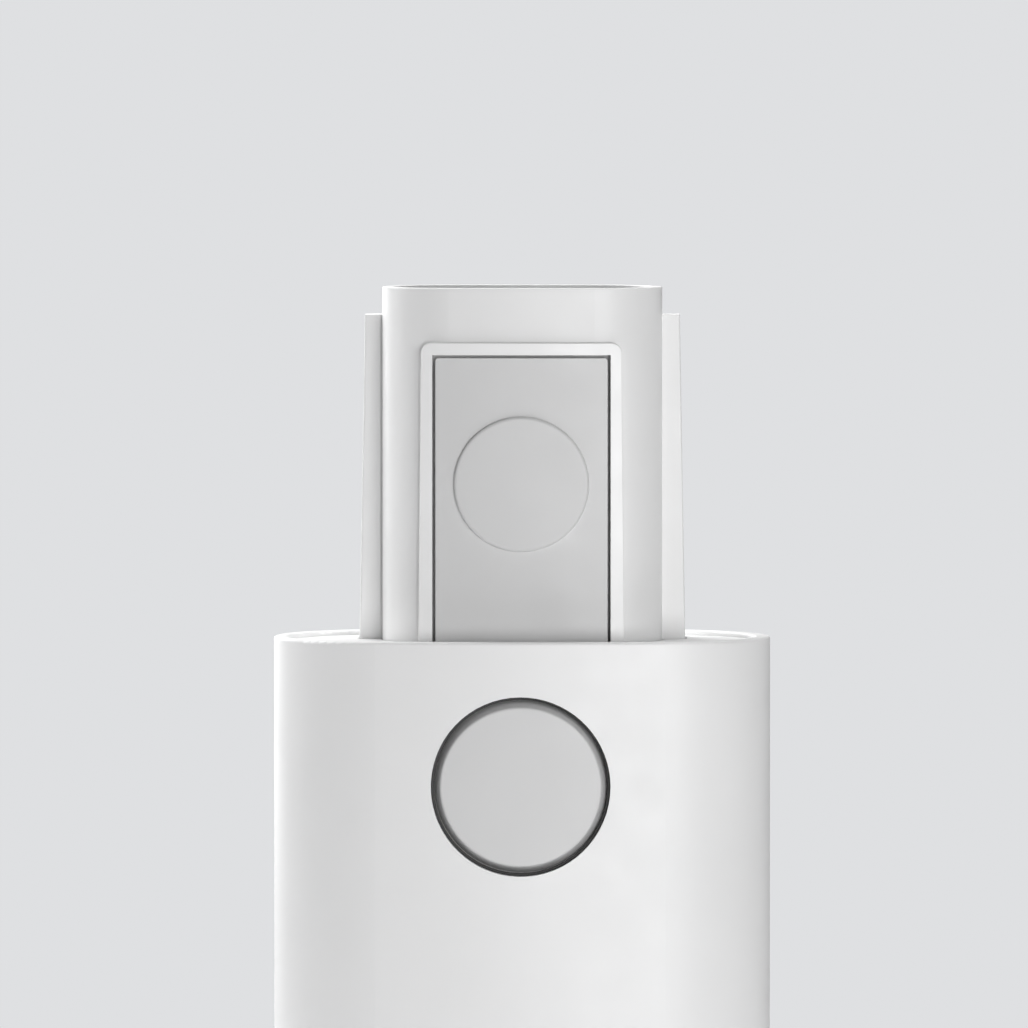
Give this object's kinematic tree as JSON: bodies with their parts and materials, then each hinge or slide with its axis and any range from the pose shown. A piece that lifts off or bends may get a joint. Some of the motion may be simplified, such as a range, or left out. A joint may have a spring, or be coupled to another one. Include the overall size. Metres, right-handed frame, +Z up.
{
  "type": "video doorbell",
  "caption": "Upright oval wall doorbell with a round press button, a camera near its foot, and a battery core that slides up out of the top.",
  "frame": {"origin": "on the wall plane at the back of the bracket, midway between the two wall screw holes", "axes": "+X across the front to the viewer's right, +Y from the front to the wall, +Z up"},
  "size_m": [0.0606, 0.0341, 0.1706],
  "materials": {
    "white_shell": "fine satin",
    "grey_touch": "fine satin",
    "dark_plastic": "matte",
    "black_rubber": "matte",
    "grey_rubber": "matte",
    "steel": "satin",
    "magnet": "bright",
    "contact_gold": "bright",
    "window_glass": "polished",
    "lens_glass": "polished",
    "clear_plastic": "polished",
    "pir_plastic": "frosted",
    "board": "satin",
    "chip": "matte",
    "cell": "satin",
    "inner_plastic": "matte",
    "lead_red": "satin",
    "cone_paper": "matte",
    "flex_film": "satin"
  },
  "bodies": {
    "bracket": {"wall_bracket": "dark_plastic"},
    "housing": {"outer_sleeve": "white_shell", "hanging_studs": "steel", "top_collar": "white_shell", "base_cap": "white_shell", "base_seal": "black_rubber", "base_screws": "steel", "guide_channels": "inner_plastic", "inner_screws": "steel", "bulkhead": "inner_plastic", "pogo_block": "chip", "pogo_pins": "contact_gold", "button_guide": "inner_plastic", "camera_trim": "dark_plastic", "camera_window": "window_glass", "ir_led_board": "board", "ir_leds": "clear_plastic", "camera_cradle": "inner_plastic", "lens_barrel": "chip", "lens_elements": "lens_glass", "lens_holder": "chip", "filter_actuator": "chip", "image_sensor": "chip", "camera_board": "board", "camera_flex": "flex_film", "main_board": "board", "radio_shield": "steel", "sensor_board": "board", "pir_lens": "pir_plastic", "pir_sensor": "steel", "microphone": "contact_gold", "light_pipe": "clear_plastic", "speaker_driver": "steel", "speaker_cone": "cone_paper", "terminal_block": "inner_plastic", "terminal_screws": "steel"},
    "button": {"bell_button": "grey_touch", "button_magnet": "magnet", "button_spring": "steel"},
    "core": {"core_shell": "white_shell", "core_frame": "white_shell", "guide_rails": "white_shell", "core_top_cap": "inner_plastic", "flap_pin": "steel", "charging_port": "steel", "core_bottom_cap": "white_shell", "contact_pads": "contact_gold", "core_screws": "steel", "core_board": "board", "battery_tray": "inner_plastic", "battery_cell": "cell", "battery_plug": "chip", "battery_leads": "lead_red", "push_switch": "chip", "plate_springs": "steel"},
    "plate": {"press_plate": "grey_touch", "press_pad": "grey_touch"},
    "flap": {"port_flap": "grey_rubber"},
    "ir_filter": {"filter_shuttle": "inner_plastic", "filter_glasses": "lens_glass"}
  },
  "joints": [
    {"name": "housing_lift", "type": "slide", "parent": "bracket", "child": "housing", "axis": [0, 0, 1], "range_m": [0, 0.006]},
    {"name": "core_slide", "type": "slide", "parent": "housing", "child": "core", "axis": [0, 0, 1], "range_m": [-0.0363, 0]},
    {"name": "bell_button_press", "type": "slide", "parent": "housing", "child": "button", "axis": [0, 1, 0], "range_m": [0, 0.0009], "stiffness_N_per_m": 1500, "springref_m": -0.0004, "deforming": ["button_spring"]},
    {"name": "press_plate_press", "type": "slide", "parent": "core", "child": "plate", "axis": [0, 1, 0], "range_m": [0, 0.0004], "stiffness_N_per_m": 3000, "springref_m": -0.0002, "deforming": ["plate_springs"]},
    {"name": "port_flap_hinge", "type": "hinge", "parent": "core", "child": "flap", "pos_m": [0, -0.0104, 0.1033], "axis": [-1, 0, 0], "range_deg": [0, 100]},
    {"name": "ir_filter_shift", "type": "slide", "parent": "housing", "child": "ir_filter", "axis": [-1, 0, 0], "range_m": [0, 0.006]}
  ]
}
